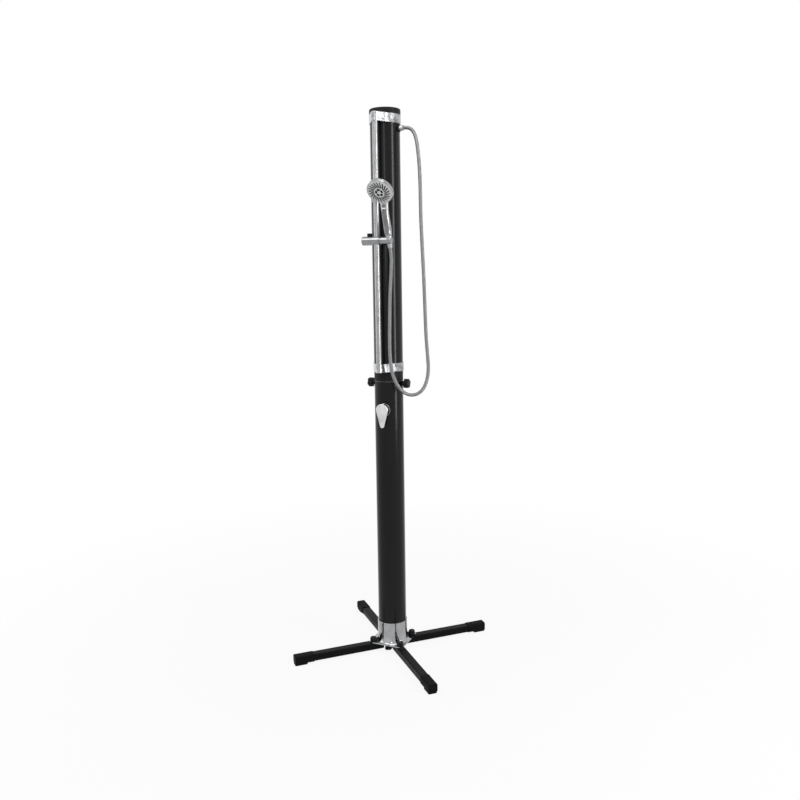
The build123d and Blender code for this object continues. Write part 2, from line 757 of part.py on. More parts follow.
with BuildPart() as cartridge_nut:
    with BuildSketch(tap_plane(cartridge_end)):
        Circle(nut_thread_r)
    extrude(amount=neck_end - cartridge_end)
    with BuildSketch(tap_plane(neck_end)):
        Circle(neck_r)
    extrude(amount=nut_ring_end - neck_end)
    with BuildSketch(tap_plane(cartridge_end)):
        Circle(nut_mouth_r)
    extrude(amount=nut_ring_end - cartridge_end, mode=Mode.SUBTRACT)
cartridge_nut.part.label = "cartridge_nut"
export_step(cartridge_nut.part, "parts/cartridge_nut.step")

pin_centre = tap_plane(pivot_at).origin
pin_plane = Plane(origin=pin_centre, x_dir=(0, 0, 1), z_dir=tap_plane(0).x_dir)
with BuildPart() as stem_yoke:
    with BuildSketch(tap_plane(yoke_back)):
        Circle(yoke_r)
    extrude(amount=yoke_end - yoke_back)
    with BuildSketch(tap_plane(stem_back - yoke_slot_gap)):
        Rectangle(2 * (stem_r + face_gap), 2 * slot_half)
    extrude(amount=yoke_end - stem_back + yoke_slot_gap, mode=Mode.SUBTRACT)
    with BuildSketch(pin_plane):
        Circle(pin_r)
    extrude(amount=yoke_r - pin_short, both=True)
stem_yoke.part.label = "stem_yoke"
export_step(stem_yoke.part, "parts/stem_yoke.step")

# Stem of the lever: it rocks on the yoke's pin and carries the lever's hub
with BuildPart() as lever_stem:
    with BuildSketch(tap_plane(stem_back)):
        Circle(stem_r)
    extrude(amount=lever_back + nest_gap - stem_back)
    with BuildSketch(pin_plane):
        Circle(pin_r + run_gap)
    extrude(amount=stem_eye_half, both=True, mode=Mode.SUBTRACT)
lever_stem.part.label = "lever_stem"
export_step(lever_stem.part, "parts/lever_stem.step")

# Tap lever: a thick teardrop hanging down, with rounded edges and a hub behind
with BuildPart() as tap_lever:
    with BuildSketch(tap_plane(lever_back)):
        with Locations((0, lever_dome_up)):
            Circle(lever_dome_r)
        with Locations((0, -lever_tip_down)):
            Circle(lever_tip_r)
        make_hull()
    extrude(amount=lever_front - lever_back)
    fillet(far_edges(tap_lever, tap_plane(0)), lever_edge)
    with BuildSketch(tap_plane(lever_back - lever_hub)):
        Circle(lever_hub_r)
    extrude(amount=lever_hub)
    with BuildSketch(tap_plane(lever_back - lever_hub)):
        Circle(stem_r + nest_gap / 2)
    extrude(amount=lever_hub + 2 * nest_gap, mode=Mode.SUBTRACT)
tap_lever.part.label = "tap_lever"
export_step(tap_lever.part, "parts/tap_lever.step")

# Round rose against the tube behind the lever, and the thin bright ring on its front
tube_round = Plane.XY.offset(tap_z - 2 * escutcheon_r)
with BuildPart() as tap_escutcheon:
    with BuildSketch(tap_plane(tube_r - escutcheon_r)):
        Circle(escutcheon_r)
    extrude(amount=escutcheon_end - tube_r + escutcheon_r)
    fillet(far_edges(tap_escutcheon, tap_plane(0)), escutcheon_edge)
    with BuildSketch(tap_plane(tube_r - escutcheon_r)):
        Circle(neck_r + nest_gap)
    extrude(amount=escutcheon_end - tube_r + escutcheon_r, mode=Mode.SUBTRACT)
    with BuildSketch(tube_round):
        Circle(tube_r)
    extrude(amount=4 * escutcheon_r, mode=Mode.SUBTRACT)
tap_escutcheon.part.label = "tap_escutcheon"
export_step(tap_escutcheon.part, "parts/tap_escutcheon.step")

with BuildPart() as escutcheon_ring:
    with BuildSketch(tap_plane(escutcheon_end)):
        Circle(trim_outer_r)
        Circle(trim_inner_r, mode=Mode.SUBTRACT)
    extrude(amount=trim_thick)
escutcheon_ring.part.label = "escutcheon_ring"
export_step(escutcheon_ring.part, "parts/escutcheon_ring.step")

# Pipes inside the column: cold water up to the mixer, warm water down to it from the tank's top,
# and mixed water up to the hose outlet
with BuildPart() as cold_feed_pipe:
    with BuildSketch(Plane.XY.offset(plug_top + plug_boss - pipe_seat)):
        Circle(pipe_r)
        Circle(pipe_r - pipe_wall, mode=Mode.SUBTRACT)
    extrude(amount=tap_z - port_reach + pipe_seat - (plug_top + plug_boss - pipe_seat))
cold_feed_pipe.part.label = "cold_feed_pipe"
export_step(cold_feed_pipe.part, "parts/cold_feed_pipe.step")

pipe_foot = tap_z + port_reach - pipe_seat
with BuildPart() as warm_draw_pipe:
    with BuildSketch(Plane.XY.offset(pipe_foot)):
        with Locations((-side_port_x, 0)):
            Circle(pipe_r)
            Circle(pipe_r - pipe_wall, mode=Mode.SUBTRACT)
    extrude(amount=outlet_z - pipe_foot)
warm_draw_pipe.part.label = "warm_draw_pipe"
export_step(warm_draw_pipe.part, "parts/warm_draw_pipe.step")

with BuildPart() as mixed_water_pipe:
    with BuildLine() as mixed_path:
        FilletPolyline((side_port_x, 0, pipe_foot), (side_port_x, 0, outlet_z),
                       (outlet_back + pipe_seat - 2, 0, outlet_z), radius=3 * pipe_r)
    with BuildSketch(Plane.XY.offset(pipe_foot)):
        with Locations((side_port_x, 0)):
            Circle(pipe_r)
            Circle(pipe_r - pipe_wall, mode=Mode.SUBTRACT)
    sweep(path=mixed_path.wires()[0])
mixed_water_pipe.part.label = "mixed_water_pipe"
export_step(mixed_water_pipe.part, "parts/mixed_water_pipe.step")

# Hose outlet: a brass nipple through the tube's wall, a rose outside and the hose's ribbed nut
with BuildPart() as outlet_nipple:
    with BuildSketch(outlet_plane(outlet_back)):
        Circle(outlet_r)
    extrude(amount=outlet_nut_end - nipple_short - outlet_back)
    with BuildSketch(outlet_plane(outlet_flange_x)):
        RegularPolygon(outlet_flange_r, 6)
    extrude(amount=outlet_flange)
    with BuildSketch(outlet_plane(outlet_back)):
        Circle(pipe_r + nest_gap / 2)
    extrude(amount=pipe_seat, mode=Mode.SUBTRACT)
    with BuildSketch(outlet_plane(outlet_back)):
        Circle(outlet_bore_r)
    extrude(amount=outlet_nut_end - outlet_back, mode=Mode.SUBTRACT)
outlet_nipple.part.label = "outlet_nipple"
export_step(outlet_nipple.part, "parts/outlet_nipple.step")

with BuildPart() as outlet_rose:
    with BuildSketch(outlet_plane(tube_r - outlet_rose_r / 2)):
        Circle(outlet_rose_r)
    extrude(amount=outlet_rose_x - tube_r + outlet_rose_r / 2)
    fillet(outlet_rose.faces().sort_by(Axis.X)[-1].edges(), outlet_rose_edge)
    with BuildSketch(outlet_plane(0)):
        Circle(outlet_r + nest_gap / 2)
    extrude(amount=outlet_rose_x, mode=Mode.SUBTRACT)
    with BuildSketch(Plane.XY.offset(outlet_z - outlet_rose_r)):
        Circle(tube_r)
    extrude(amount=2 * outlet_rose_r, mode=Mode.SUBTRACT)
outlet_rose.part.label = "outlet_rose"
export_step(outlet_rose.part, "parts/outlet_rose.step")

with BuildPart() as outlet_hose_nut:
    with BuildSketch(outlet_plane(outlet_rose_x)):
        Circle(outlet_nut_r)
        with PolarLocations(outlet_nut_r + nut_rib_out, nut_rib_count):
            Circle(nut_rib_r, mode=Mode.SUBTRACT)
    extrude(amount=outlet_nut_end - outlet_rose_x - outlet_nut_taper)
    with BuildSketch(outlet_plane(outlet_nut_end - outlet_nut_taper)):
        Circle(outlet_nut_r)
    with BuildSketch(outlet_plane(outlet_nut_end)):
        Circle(hose_r + outlet_nut_lip)
    loft()
    with BuildSketch(outlet_plane(outlet_rose_x)):
        Circle(outlet_r + nest_gap / 2)
    extrude(amount=outlet_nut_end - nipple_short + nest_gap - outlet_rose_x, mode=Mode.SUBTRACT)
outlet_hose_nut.part.label = "outlet_hose_nut"
export_step(outlet_hose_nut.part, "parts/outlet_hose_nut.step")

# Slider: the clamp on the rail with its bushing, the lock knob with its tab, and the holder's pin
with BuildPart() as slider_clamp:
    with BuildSketch(barrel_plane(slider_left)):
        Circle(slider_r)
    extrude(amount=slider_right - slider_left)
    with BuildSketch(Plane.XY.offset(slider_z)):
        with Locations((0, rail_y)):
            Circle(rail_r + bushing_wall + nest_gap / 4)
    extrude(amount=slider_r, both=True, mode=Mode.SUBTRACT)
    with BuildSketch(barrel_plane(slider_left)):
        Circle(lock_shaft_r + run_gap)
    extrude(amount=lock_shaft + face_gap, mode=Mode.SUBTRACT)
    with BuildSketch(barrel_plane(slider_right)):
        Circle(holder_rivet_r)
    extrude(amount=-slider_right + rail_r, mode=Mode.SUBTRACT)
slider_clamp.part.label = "slider_clamp"
export_step(slider_clamp.part, "parts/slider_clamp.step")

with BuildPart() as slider_bushing:
    with BuildSketch(Plane.XY.offset(slider_z - bushing_half)):
        with Locations((0, rail_y)):
            Circle(rail_r + bushing_wall)
            Circle(rail_r + run_gap, mode=Mode.SUBTRACT)
    extrude(amount=2 * bushing_half)
slider_bushing.part.label = "slider_bushing"
export_step(slider_bushing.part, "parts/slider_bushing.step")

with BuildPart() as holder_screw:
    with BuildSketch(barrel_plane(slider_right)):
        Circle(holder_rivet_r)
    extrude(amount=-(slider_right - rail_r - bushing_wall - nest_gap))
    with BuildSketch(barrel_plane(slider_right)):
        Circle(holder_pin_r)
    extrude(amount=holder_pin_end - slider_right)
holder_screw.part.label = "holder_screw"
export_step(holder_screw.part, "parts/holder_screw.step")

with BuildPart() as lock_knob:
    with BuildSketch(barrel_plane(slider_left - face_gap)):
        Circle(slider_r)
    extrude(amount=lock_left - slider_left + face_gap)
    fillet(lock_knob.faces().sort_by(Axis.X)[0].edges(), barrel_edge)
    with BuildSketch(barrel_plane(slider_left - face_gap)):
        Circle(lock_shaft_r)
    extrude(amount=lock_shaft + face_gap)
lock_knob.part.label = "lock_knob"
export_step(lock_knob.part, "parts/lock_knob.step")

with BuildPart() as lock_tab:
    with BuildSketch(Plane.XY.offset(slider_z)):
        with Locations(((tab_left + slider_left - face_gap) / 2, rail_y)):
            RectangleRounded(slider_left - face_gap - tab_left, tab_width, lock_tab_corner)
    extrude(amount=slider_r + tab_rise)
    fillet(lock_tab.faces().sort_by(Axis.Z)[-1].edges(), lock_tab_edge)
    with BuildSketch(barrel_plane(tab_left)):
        Circle(slider_r)
    extrude(amount=slider_left - tab_left, mode=Mode.SUBTRACT)
lock_tab.part.label = "lock_tab"
export_step(lock_tab.part, "parts/lock_tab.step")

# Swivelling holder: a barrel with a conical bore for the hose nut, open on its outer end
cone_slope = (cone_top_r - cone_low_r) / (cone_top_w - cone_low_w)
with BuildPart() as cone_holder:
    with BuildSketch(barrel_plane(slider_right + face_gap)):
        Circle(holder_r)
    extrude(amount=holder_end - slider_right - face_gap)
    fillet(cone_holder.faces().sort_by(Axis.X)[-1].edges(), barrel_edge)
    with BuildSketch(barrel_plane(slider_right + face_gap)):
        Circle(holder_pin_r + run_gap)
    extrude(amount=holder_pin_end - slider_right, mode=Mode.SUBTRACT)
    with BuildSketch(handle_plane(-2 * holder_r)):
        Circle(cone_low_r + cone_slope * (-2 * holder_r - cone_low_w) + face_gap)
    with BuildSketch(handle_plane(2 * holder_r)):
        Circle(cone_low_r + cone_slope * (2 * holder_r - cone_low_w) + face_gap)
    loft(mode=Mode.SUBTRACT)
    with BuildSketch(handle_plane(-2 * holder_r)):
        with Locations((holder_r, 0)):
            Rectangle(2 * holder_r, mouth_width)
    extrude(amount=4 * holder_r, mode=Mode.SUBTRACT)
cone_holder.part.label = "cone_holder"
export_step(cone_holder.part, "parts/cone_holder.step")

# Conical hose nut under the handle
cone_axis = Axis(handle_plane(0).origin, handle_plane(0).z_dir)
cone_outline = Plane(origin=handle_plane(0).origin, x_dir=(1, 0, 0), z_dir=handle_plane(0).y_dir * -1)
with BuildPart() as handset_hose_nut:
    with BuildSketch(cone_outline):
        with BuildLine():
            Polyline((cone_bore_r, cone_low_w), (cone_low_r, cone_low_w), (cone_top_r, cone_top_w),
                     (cone_top_r, cone_top_w + cone_rim), (cone_bore_r, cone_top_w + cone_rim), close=True)
        make_face()
    revolve(axis=cone_axis)
    with BuildSketch(handle_plane(cone_low_w)):
        Circle(cone_bore_r)
    extrude(amount=cone_inlet)
handset_hose_nut.part.label = "handset_hose_nut"
export_step(handset_hose_nut.part, "parts/handset_hose_nut.step")

# Hand shower body: a lofted handle and a turned head, with a spigot for the selector ring
grip_low_w = cone_top_w + cone_rim
with BuildPart() as handset_body:
    with BuildSketch(handle_plane(grip_low_w)):
        Circle(cone_top_r)
    for along, back, width, depth, corner in handle_sections:
        with BuildSketch(handle_plane(along)):
            with Locations((0, back)):
                RectangleRounded(width, depth, corner)
    loft()
    with BuildSketch(head_outline):
        with BuildLine():
            Polyline((0, -dome_depth), (0, -lip_from), (lip_r - run_gap, -lip_from),
                     (lip_r - run_gap, -ring_depth - face_gap), (head_r, -ring_depth - face_gap),
                     (head_r, -rim_depth))
            Bezier((head_r, -rim_depth), (shoulder_r, -back_depth), (back_r, -back_depth - back_drop),
                   (dome_r, -dome_depth), (0, -dome_depth))
        make_face()
    revolve(axis=head_axis)
    with BuildSketch(face_plane(-ring_depth - face_gap)):
        Circle(head_r + face_gap)
        Circle(lip_r - run_gap, mode=Mode.SUBTRACT)
    extrude(amount=2 * head_r, mode=Mode.SUBTRACT)
    with BuildSketch(face_plane(-lip_from)):
        Circle(head_r)
    extrude(amount=2 * head_r, mode=Mode.SUBTRACT)
    with BuildSketch(handle_plane(grip_low_w)):
        Circle(cone_bore_r)
    extrude(amount=handle_high_w - grip_low_w, mode=Mode.SUBTRACT)
    with BuildSketch(handle_plane(panel_low_w)):
        with Locations((0, -panel_low_seat - panel_cut / 2)):
            Rectangle(panel_width + 2 * nest_gap, panel_cut)
    with BuildSketch(handle_plane(panel_high_w)):
        with Locations((0, -panel_high_seat - panel_cut / 2)):
            Rectangle(panel_width + 2 * nest_gap, panel_cut)
    loft(mode=Mode.SUBTRACT)
handset_body.part.label = "handset_body"
export_step(handset_body.part, "parts/handset_body.step")

# Soft panel let into the handle's front
with BuildPart() as handset_panel:
    with BuildSketch(handle_plane(panel_low_w)):
        with Locations((0, -panel_low_seat - panel_thick / 2)):
            Rectangle(panel_width, panel_thick)
    with BuildSketch(handle_plane(panel_high_w)):
        with Locations((0, -panel_high_seat - panel_thick / 2)):
            Rectangle(panel_width, panel_thick)
    loft()
    panel_front = handset_panel.faces().sort_by(Axis(handle_plane(0).origin, handle_plane(0).y_dir))[0]
    fillet(panel_front.edges(), panel_edge)
handset_panel.part.label = "handset_panel"
export_step(handset_panel.part, "parts/handset_panel.step")

# Domed spray plate with a swirl of grooves and a ring of five slots
with BuildPart() as nozzle_plate:
    with BuildSketch(head_outline):
        with BuildLine():
            Polyline((plate_flat_r, plate_dome), (0, plate_dome), (0, face_gap - lip_from),
                     (plate_r, face_gap - lip_from), (plate_r, 0))
            TangentArc((plate_flat_r, plate_dome), (plate_r, 0), tangent=(1, 0))
        make_face()
    revolve(axis=head_axis)
    with BuildSketch(face_plane(plate_dome)):
        with PolarLocations(groove_ring_r, groove_swirl_count):
            SlotOverall(groove_len, groove_wide, rotation=groove_swirl)
    extrude(amount=-plate_dome - groove_deep, mode=Mode.SUBTRACT)
    with BuildSketch(face_plane(plate_dome)):
        with PolarLocations(slot_ring_r, 5, start_angle=90):
            SlotOverall(slot_len, slot_wide, rotation=90)
    extrude(amount=-slot_deep, mode=Mode.SUBTRACT)
nozzle_plate.part.label = "nozzle_plate"
export_step(nozzle_plate.part, "parts/nozzle_plate.step")

# Selector ring round the spray plate, with its thumb tab
with BuildPart() as spray_selector:
    with BuildSketch(head_outline):
        with BuildLine():
            Polyline((plate_r + face_gap, 0), (head_r - ring_edge, 0), (head_r, -ring_edge),
                     (head_r, -ring_depth),
                     (lip_r, -ring_depth), (lip_r, -lip_from), (plate_r + face_gap, -lip_from),
                     close=True)
        make_face()
    revolve(axis=head_axis)
    with BuildSketch(face_plane(-ring_depth + tab_inset)):
        with PolarLocations((head_r + tab_reach) / 2 - tab_inset, 1, start_angle=tab_angle):
            RectangleRounded(tab_reach - head_r + 2 * tab_inset, 2 * tab_half, tab_corner)
    extrude(amount=ring_depth - 2 * tab_inset)
spray_selector.part.label = "spray_selector"
export_step(spray_selector.part, "parts/spray_selector.step")

# Shower hose: straight runs joined by tangent arcs, in four stretches that meet face to face
hose_points = [
    (79, 0, 2097), (97, 0, 2097), (117, -1, 2083.5), (129, -2, 2056), (136, -4, 2018),
    (143, -6, 1955), (147, -8, 1870), (148, -10, 1775), (154, -13, 1665), (161, -16, 1545),
    (166, -19, 1425), (171, -23, 1315), (180, -28, 1232), (184, -31, 1182), (178.5, -36, 1139),
    (163.5, -42, 1104), (136, -51.5, 1084.5), (103, -64, 1088), (77, -76, 1115), (59.5, -86, 1155),
    (50.5, -92, 1206), (48, -93, 1275), (47, -86, 1375), (46, -78, 1470), (49, -72, 1550),
    (52, -71.6, 1616.7), (52, -81.8, 1650.15),
]
hose_stretches = {"hose_fall": (0, 16), "hose_rise": (17, 21), "hose_swing": (22, 23), "hose_tail": (24, 26)}
hose_route = [Vector(*point) for point in hose_points]
hose_radii = {}
for i in range(1, len(hose_route) - 1):
    run_in = hose_route[i] - hose_route[i - 1]
    run_out = hose_route[i + 1] - hose_route[i]
    half_turn = radians(run_in.get_angle(run_out)) / 2
    hose_radii[i] = 0.45 * min(run_in.length, run_out.length) / tan(half_turn)
print("hose radii, mm:", [round(radius) for radius in hose_radii.values()])
for name, (first, last) in hose_stretches.items():
    route = hose_route[first:last + 1]
    bends = [hose_radii[i] for i in range(max(first, 1), min(last, len(hose_route) - 2) + 1)]
    if first > 0:
        route.insert(0, (hose_route[first - 1] + hose_route[first]) / 2)
    if last < len(hose_route) - 1:
        route.append((hose_route[last] + hose_route[last + 1]) / 2)
    with BuildPart() as hose:
        with BuildLine() as hose_line:
            FilletPolyline(*route, radius=bends)
        with BuildSketch(Plane(origin=route[0], z_dir=route[1] - route[0])):
            Circle(hose_r)
        sweep(path=hose_line.wires()[0])
    hose_length = hose_line.wires()[0].length
    print(name, "length", round(hose_length, 1), "mm, volume over section x length",
          round(hose.part.volume / (pi * hose_r ** 2 * hose_length), 4))
    hose.part.label = name
    export_step(hose.part, f"parts/{name}.step")
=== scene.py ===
import json
from math import asin, atan2, cos, pi, radians, sin, sqrt

import bmesh
import bpy
from mathutils import Matrix, Vector


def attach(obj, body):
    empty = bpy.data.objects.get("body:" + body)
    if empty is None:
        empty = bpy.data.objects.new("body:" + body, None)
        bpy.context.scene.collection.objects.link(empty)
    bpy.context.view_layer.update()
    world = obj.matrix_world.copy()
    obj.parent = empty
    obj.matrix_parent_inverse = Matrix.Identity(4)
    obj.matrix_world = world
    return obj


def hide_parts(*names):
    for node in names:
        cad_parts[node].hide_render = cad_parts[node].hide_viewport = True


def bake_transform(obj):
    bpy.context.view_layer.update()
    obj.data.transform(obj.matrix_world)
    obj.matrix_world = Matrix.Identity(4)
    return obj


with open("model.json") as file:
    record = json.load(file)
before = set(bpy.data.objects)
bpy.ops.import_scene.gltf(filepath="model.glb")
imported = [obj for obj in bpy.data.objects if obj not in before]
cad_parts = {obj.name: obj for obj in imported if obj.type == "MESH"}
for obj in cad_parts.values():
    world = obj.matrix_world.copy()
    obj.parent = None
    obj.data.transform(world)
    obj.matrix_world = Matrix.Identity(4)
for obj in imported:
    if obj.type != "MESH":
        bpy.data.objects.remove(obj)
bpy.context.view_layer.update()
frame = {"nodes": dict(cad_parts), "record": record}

# Solar outdoor shower: finishes of every piece, the hose, and the small detail of the visible parts.
# Metres. +Z is up, the origin is on the column's axis at the floor, and the front faces -Y.

scene = bpy.context.scene
nodes = frame["nodes"]

# Camera, solved from the feet, the tube's edges and the rims' ellipses
camera_azimuth = radians(24.71)
camera_distance = 3.2035
camera_height = 1.5554
camera_yaw = radians(-0.78)
camera_pitch = radians(8.95)
camera_roll = radians(-0.76)
camera_focal = 806.9        # pixels of the 800 x 800 frame
image_side = 800
sensor_width = 36.0


def add_camera():
    """Camera at the photograph's viewing angle."""
    place = Vector((camera_distance * sin(camera_azimuth), -camera_distance * cos(camera_azimuth),
                    camera_height))
    heading = camera_azimuth + camera_yaw
    level = Vector((-sin(heading), cos(heading), 0))
    forward = level * cos(camera_pitch) - Vector((0, 0, 1)) * sin(camera_pitch)
    right = forward.cross(Vector((0, 0, 1))).normalized()
    upper = right.cross(forward)
    across = right * cos(camera_roll) + upper * sin(camera_roll)
    up = upper * cos(camera_roll) - right * sin(camera_roll)
    data = bpy.data.cameras.new("camera")
    data.sensor_width = sensor_width
    data.lens = camera_focal * sensor_width / image_side
    camera = bpy.data.objects.new("camera", data)
    scene.collection.objects.link(camera)
    turn = Matrix((across, up, -forward)).transposed()
    camera.matrix_world = Matrix.Translation(place) @ turn.to_4x4()
    scene.camera = camera


# Materials
def new_material(name):
    """A new material, its node tree and its shader."""
    material = bpy.data.materials.new(name)
    material.use_nodes = True
    return material, material.node_tree, material.node_tree.nodes["Principled BSDF"]


def place_source(tree, stretch=(1, 1, 1)):
    """Object coordinates in metres, stretched along the axes."""
    coordinates = tree.nodes.new("ShaderNodeTexCoord")
    mapping = tree.nodes.new("ShaderNodeMapping")
    mapping.inputs["Scale"].default_value = stretch
    tree.links.new(coordinates.outputs["Object"], mapping.inputs["Vector"])
    return mapping.outputs["Vector"]


def noise(tree, source, scale, detail=4.0, rough=0.55):
    """Smooth noise from 0 to 1; the scale is in waves to the metre."""
    node = tree.nodes.new("ShaderNodeTexNoise")
    node.inputs["Scale"].default_value = scale
    node.inputs["Detail"].default_value = detail
    node.inputs["Roughness"].default_value = rough
    tree.links.new(source, node.inputs["Vector"])
    return node.outputs["Fac"]


def spread(tree, value, low_in, high_in, low, high):
    """The value moved from one range to another."""
    node = tree.nodes.new("ShaderNodeMapRange")
    node.inputs["From Min"].default_value = low_in
    node.inputs["From Max"].default_value = high_in
    node.inputs["To Min"].default_value = low
    node.inputs["To Max"].default_value = high
    tree.links.new(value, node.inputs["Value"])
    return node.outputs["Result"]


def tint(tree, value, dark, light):
    """Colour between dark at 0 and light at 1."""
    node = tree.nodes.new("ShaderNodeMix")
    node.data_type = "RGBA"
    node.inputs["A"].default_value = (*dark, 1)
    node.inputs["B"].default_value = (*light, 1)
    tree.links.new(value, node.inputs["Factor"])
    return node.outputs["Result"]


def bump(tree, shader, height, strength, distance):
    """Fine unevenness of the shader's surface."""
    node = tree.nodes.new("ShaderNodeBump")
    node.inputs["Strength"].default_value = strength
    node.inputs["Distance"].default_value = distance
    tree.links.new(height, node.inputs["Height"])
    tree.links.new(node.outputs["Normal"], shader.inputs["Normal"])


def finish_material(name, dark, light, rough_low, rough_high, metallic=0.0, grain=300.0, cloud=14.0,
                    bump_strength=0.15, bump_depth=0.0002, stretch=(1, 1, 1), specular=0.5):
    """A finish whose colour and gloss drift with a broad cloud and whose bump follows a fine grain."""
    material, tree, shader = new_material(name)
    source = place_source(tree, stretch)
    broad = noise(tree, source, cloud)
    fine = noise(tree, source, grain, detail=3.0, rough=0.6)
    colour = tint(tree, spread(tree, broad, 0.3, 0.7, 0, 1), dark, light)
    tree.links.new(colour, shader.inputs["Base Color"])
    tree.links.new(spread(tree, broad, 0.25, 0.75, rough_low, rough_high), shader.inputs["Roughness"])
    bump(tree, shader, fine, bump_strength, bump_depth)
    shader.inputs["Metallic"].default_value = metallic
    shader.inputs["Specular IOR Level"].default_value = specular
    return material


# Each finish: dark and light colour, lowest and highest roughness, and then what differs from the usual
tank_black = finish_material("tank_black", (0.003, 0.003, 0.0032), (0.006, 0.006, 0.0065), 0.15, 0.23,
                             grain=900, cloud=9, bump_strength=0.05, bump_depth=0.0001, stretch=(1, 1, 0.2),
                             specular=0.18)
moulded_black = finish_material("moulded_black", (0.006, 0.006, 0.006), (0.011, 0.011, 0.0115), 0.40, 0.55,
                                grain=1400, cloud=40, bump_strength=0.25, specular=0.14)
chrome = finish_material("chrome", (0.31, 0.314, 0.322), (0.42, 0.425, 0.435), 0.07, 0.16, metallic=1.0,
                         grain=1200, cloud=30, bump_strength=0.03, bump_depth=0.0001)
rail_chrome = finish_material("rail_chrome", (0.27, 0.273, 0.28), (0.36, 0.364, 0.372), 0.24, 0.34,
                              metallic=1.0, grain=1200, cloud=30, bump_strength=0.03, bump_depth=0.0001)
# Chrome painted darker than the rest: painted shade on the slider, its lock knob and the cone holder
chrome_painted_dark = finish_material("chrome_painted_dark", (0.22, 0.223, 0.23), (0.30, 0.304, 0.312), 0.1, 0.2,
                                metallic=1.0, grain=1200, cloud=40, bump_strength=0.04, bump_depth=0.0001)
band_chrome = finish_material("band_chrome", (0.22, 0.223, 0.23), (0.50, 0.505, 0.515), 0.08, 0.24,
                              metallic=1.0, grain=90, cloud=55, bump_strength=0.35, bump_depth=0.0006)
# Chrome painted brighter than the rest: a painted highlight on the tap's lever and the handle's bar
chrome_painted_bright = finish_material("chrome_painted_bright", (0.50, 0.505, 0.515), (0.72, 0.725, 0.735), 0.05, 0.12,
                                metallic=1.0, grain=1200, cloud=30, bump_strength=0.03, bump_depth=0.0001)
satin_chrome = finish_material("satin_chrome", (0.30, 0.304, 0.31), (0.42, 0.425, 0.43), 0.2, 0.34,
                               metallic=1.0, grain=1500, cloud=35, bump_strength=0.06)
powder_black = finish_material("powder_black", (0.003, 0.003, 0.003), (0.006, 0.006, 0.0065), 0.34, 0.48,
                               grain=2200, cloud=25, bump_strength=0.35, specular=0.06)
rubber_black = finish_material("rubber_black", (0.003, 0.003, 0.003), (0.007, 0.007, 0.007), 0.55, 0.75,
                               grain=1800, cloud=50, bump_strength=0.4, specular=0.06)
dark_steel = finish_material("dark_steel", (0.012, 0.012, 0.013), (0.025, 0.025, 0.027), 0.3, 0.42,
                             metallic=0.8, grain=1500, cloud=60)
plain_steel = finish_material("plain_steel", (0.45, 0.45, 0.46), (0.58, 0.58, 0.58), 0.28, 0.42,
                              metallic=1.0, grain=1500, cloud=60, stretch=(1, 1, 6))
brass = finish_material("brass", (0.55, 0.40, 0.18), (0.68, 0.52, 0.26), 0.22, 0.36, metallic=1.0,
                        grain=1500, cloud=50)
white_plastic = finish_material("white_plastic", (0.62, 0.62, 0.60), (0.72, 0.72, 0.70), 0.35, 0.5,
                                grain=1500, cloud=60)
pipe_grey = finish_material("pipe_grey", (0.50, 0.51, 0.53), (0.60, 0.61, 0.63), 0.3, 0.45,
                            grain=900, cloud=30)
panel_grey = finish_material("panel_grey", (0.17, 0.172, 0.178), (0.23, 0.232, 0.24), 0.38, 0.52,
                             grain=2600, cloud=45, bump_strength=0.3, specular=0.3)
spray_grey = finish_material("spray_grey", (0.56, 0.565, 0.575), (0.68, 0.685, 0.695), 0.26, 0.4,
                             grain=1800, cloud=60, bump_strength=0.12, specular=0.3)
# Grey painted on the black tube's cut rim: a painted highlight
rim_highlight_grey = finish_material("rim_highlight_grey", (0.08, 0.08, 0.082), (0.14, 0.14, 0.143), 0.25, 0.4,
                           grain=1500, cloud=60)
nozzle_dark = finish_material("nozzle_dark", (0.002, 0.002, 0.002), (0.004, 0.004, 0.004), 0.6, 0.75,
                              grain=2500, cloud=80, specular=0.03)
slot_finish = {
    "tank_black": tank_black, "black_plastic": moulded_black, "chrome": chrome,
    "painted_metal_black": powder_black, "rubber": rubber_black, "dark_steel": dark_steel,
    "steel": plain_steel, "brass": brass, "white_plastic": white_plastic, "copper_pipe": pipe_grey,
    "grey_plastic": panel_grey, "hose_steel": satin_chrome,
}
node_finish = {
    "nozzle_plate": spray_grey, "spray_selector": satin_chrome,
    "top_band": band_chrome, "lower_band": band_chrome, "slide_rail": rail_chrome,
    # the slider, its lock knob and the cone holder take the chrome painted dark, as painted shade
    "slider_clamp": chrome_painted_dark, "lock_knob": chrome_painted_dark, "cone_holder": chrome_painted_dark,
}


def dress(name, material):
    """Give a CAD node its finish."""
    mesh = nodes[name].data
    mesh.materials.clear()
    mesh.materials.append(material)


def dress_nodes():
    """Finish every node by its material slot, except for those with a finish of their own."""
    for entry in frame["record"]["subparts"]:
        name = entry["node"]
        dress(name, node_finish.get(name, slot_finish[entry["material_slot"]]))


# Hose: its route, from the outlet round the loop to the hand shower's nut
hose_radius = 0.007
hose_points = [
    (0.079, 0, 2.097), (0.097, 0, 2.097), (0.117, -0.001, 2.0835), (0.129, -0.002, 2.056),
    (0.136, -0.004, 2.018), (0.143, -0.006, 1.955), (0.147, -0.008, 1.870), (0.148, -0.010, 1.775),
    (0.154, -0.013, 1.665), (0.161, -0.016, 1.545), (0.166, -0.019, 1.425), (0.171, -0.023, 1.315),
    (0.180, -0.028, 1.232), (0.184, -0.031, 1.182), (0.1785, -0.036, 1.139), (0.1635, -0.042, 1.104),
    (0.136, -0.0515, 1.0845), (0.103, -0.064, 1.088), (0.077, -0.076, 1.115), (0.0595, -0.086, 1.155),
    (0.0505, -0.092, 1.206), (0.048, -0.093, 1.275), (0.047, -0.086, 1.375), (0.046, -0.078, 1.470),
    (0.049, -0.072, 1.550), (0.052, -0.0716, 1.6167), (0.052, -0.0818, 1.65015),
]
# Places on the route where one stretch ends and the next begins
hose_cuts = [(0.1195, -0.0578, 1.0863), (0.0475, -0.0895, 1.325), (0.0497, -0.0719, 1.563)]
